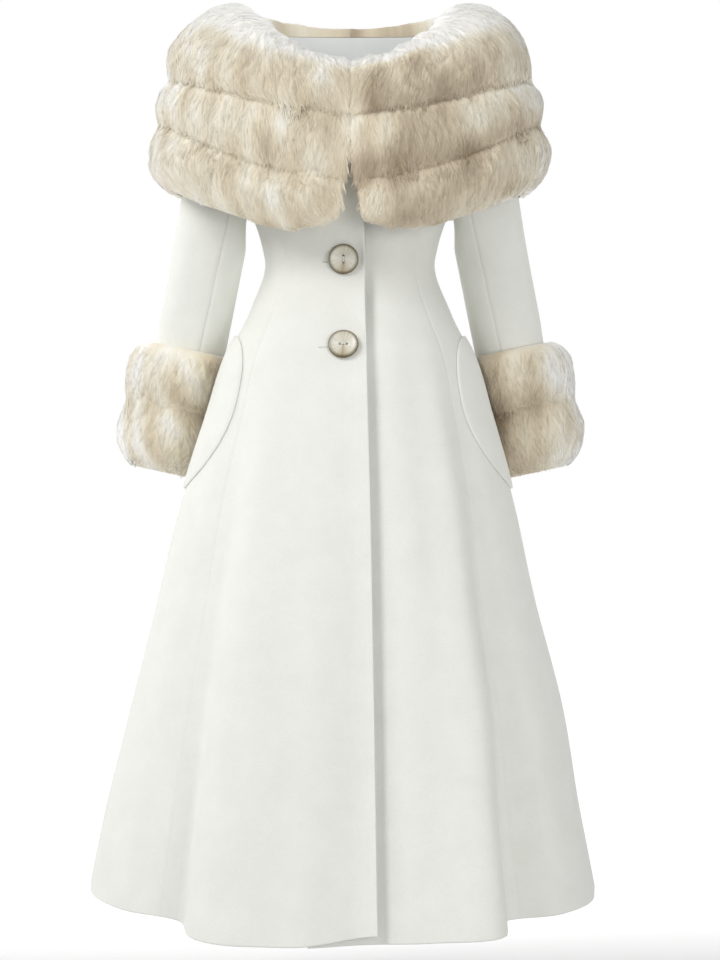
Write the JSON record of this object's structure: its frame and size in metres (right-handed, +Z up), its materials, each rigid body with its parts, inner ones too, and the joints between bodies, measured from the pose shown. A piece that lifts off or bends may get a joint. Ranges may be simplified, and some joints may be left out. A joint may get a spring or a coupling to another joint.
{
  "type": "fur collar coat",
  "caption": "Long flared wool coat with a wide off-shoulder fur collar in bands, fur cuffs, half-moon side pockets and a buttoned front lap; a hollow worn form with open neck, hem and cuffs.",
  "frame": {"origin": "middle of the wearer's shoulder line, which carries the coat", "axes": "+Z up, +X to the wearer's left, -Y to the wearer's front"},
  "size_m": [0.6774, 0.608, 1.2226],
  "materials": {
    "wool": "ivory brushed wool felt, matt",
    "fur": "long beige fur with pale tips, brown between the bands",
    "lining": "smooth pale grey facing",
    "horn": "polished beige horn"
  },
  "bodies": {
    "root": {"front_right": "wool", "side_front_right": "wool", "side_back_right": "wool", "back_right": "wool", "sleeve_top_right": "wool", "sleeve_under_right": "wool", "pocket_right": "wool", "collar_top_right": "fur", "collar_mid_right": "fur", "collar_low_right": "fur", "cuff_upper_right": "fur", "cuff_lower_right": "fur", "back_neck_facing_right": "lining", "front_left": "wool", "side_front_left": "wool", "side_back_left": "wool", "back_left": "wool", "sleeve_top_left": "wool", "sleeve_under_left": "wool", "pocket_left": "wool", "collar_top_left": "fur", "collar_mid_left": "fur", "collar_low_left": "fur", "cuff_upper_left": "fur", "cuff_lower_left": "fur", "back_neck_facing_left": "lining", "button_upper": "horn", "button_lower": "horn"}
  },
  "joints": []
}
